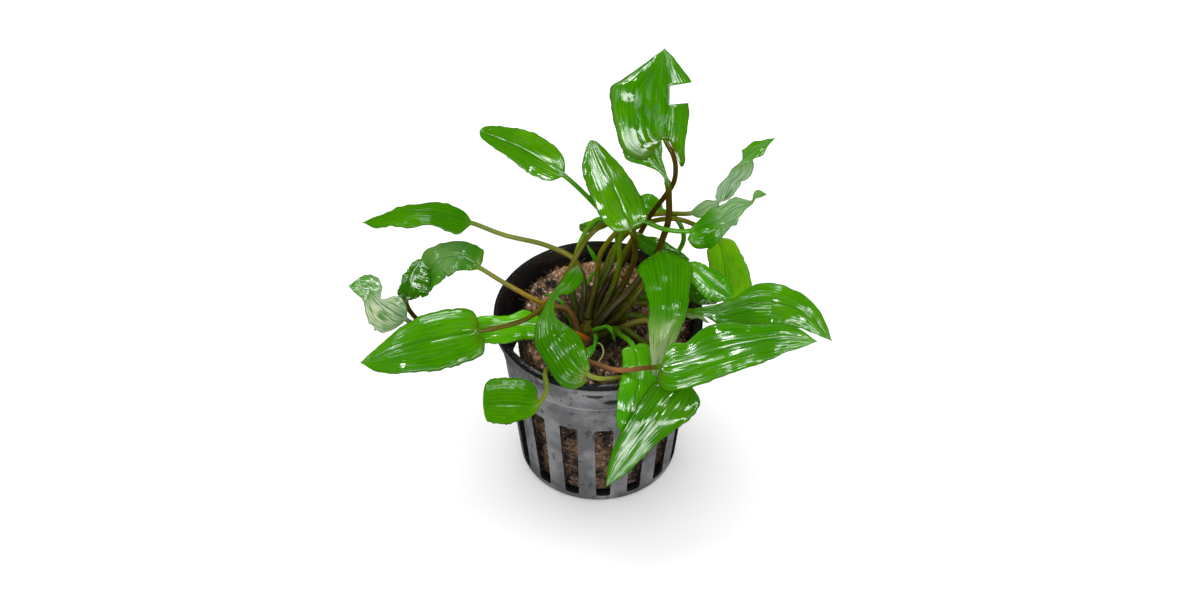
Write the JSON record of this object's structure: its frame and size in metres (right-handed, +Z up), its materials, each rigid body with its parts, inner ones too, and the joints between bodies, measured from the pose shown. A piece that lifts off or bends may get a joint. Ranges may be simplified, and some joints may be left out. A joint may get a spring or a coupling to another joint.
{
  "type": "potted aquarium plant",
  "caption": "Leafy water plant with curved stalks and glossy pointed leaves, rooted in a fibrous wool plug in a slotted plastic net pot.",
  "frame": {"origin": "middle of the pot's foot, on the surface it stands on", "axes": "+Z up, +X to the right and -Y towards the viewer of the picture"},
  "size_m": [0.1238, 0.0804, 0.1286],
  "materials": {
    "pot_plastic": "satin black moulded plastic with small dents and water marks",
    "wool_fibre": "matted brown mineral fibre",
    "root_bark": "rough brown rootstock skin",
    "root_skin": "smooth pale root",
    "leaf_green": "glossy wet leaf with faint lengthwise veins",
    "young_leaf_green": "glossy young leaf"
  },
  "bodies": {
    "root": {"net_pot": "pot_plastic", "rock_wool": "wool_fibre", "rootstock": "root_bark", "root_curl": "root_skin", "leaf_back_left_oval": "leaf_green", "leaf_upright_centre": "leaf_green", "leaf_top_torn": "leaf_green", "leaf_top_small": "leaf_green", "leaf_right_wavy_high": "leaf_green", "leaf_right_wavy_low": "leaf_green", "leaf_left_high": "leaf_green", "leaf_left_middle": "leaf_green", "leaf_left_curled": "leaf_green", "leaf_far_left_twisted": "leaf_green", "leaf_left_large": "leaf_green", "leaf_front_curled_tip": "leaf_green", "leaf_left_over_rim": "leaf_green", "leaf_front_left_small": "leaf_green", "leaf_front_hanging_narrow": "leaf_green", "leaf_front_hanging_wide": "leaf_green", "leaf_centre_drooping": "leaf_green", "leaf_centre_back": "leaf_green", "leaf_right_large_low": "leaf_green", "leaf_right_large_high": "leaf_green", "leaf_right_back_round": "leaf_green", "leaf_right_small": "leaf_green", "leaf_right_rim_pale": "leaf_green", "leaf_right_shaded": "leaf_green", "leaf_back_over_rim": "leaf_green", "leaf_back_right": "leaf_green", "young_leaf_back": "young_leaf_green", "young_leaf_left": "young_leaf_green", "young_leaf_front": "young_leaf_green", "leaf_crown_tiny": "young_leaf_green"}
  },
  "joints": []
}
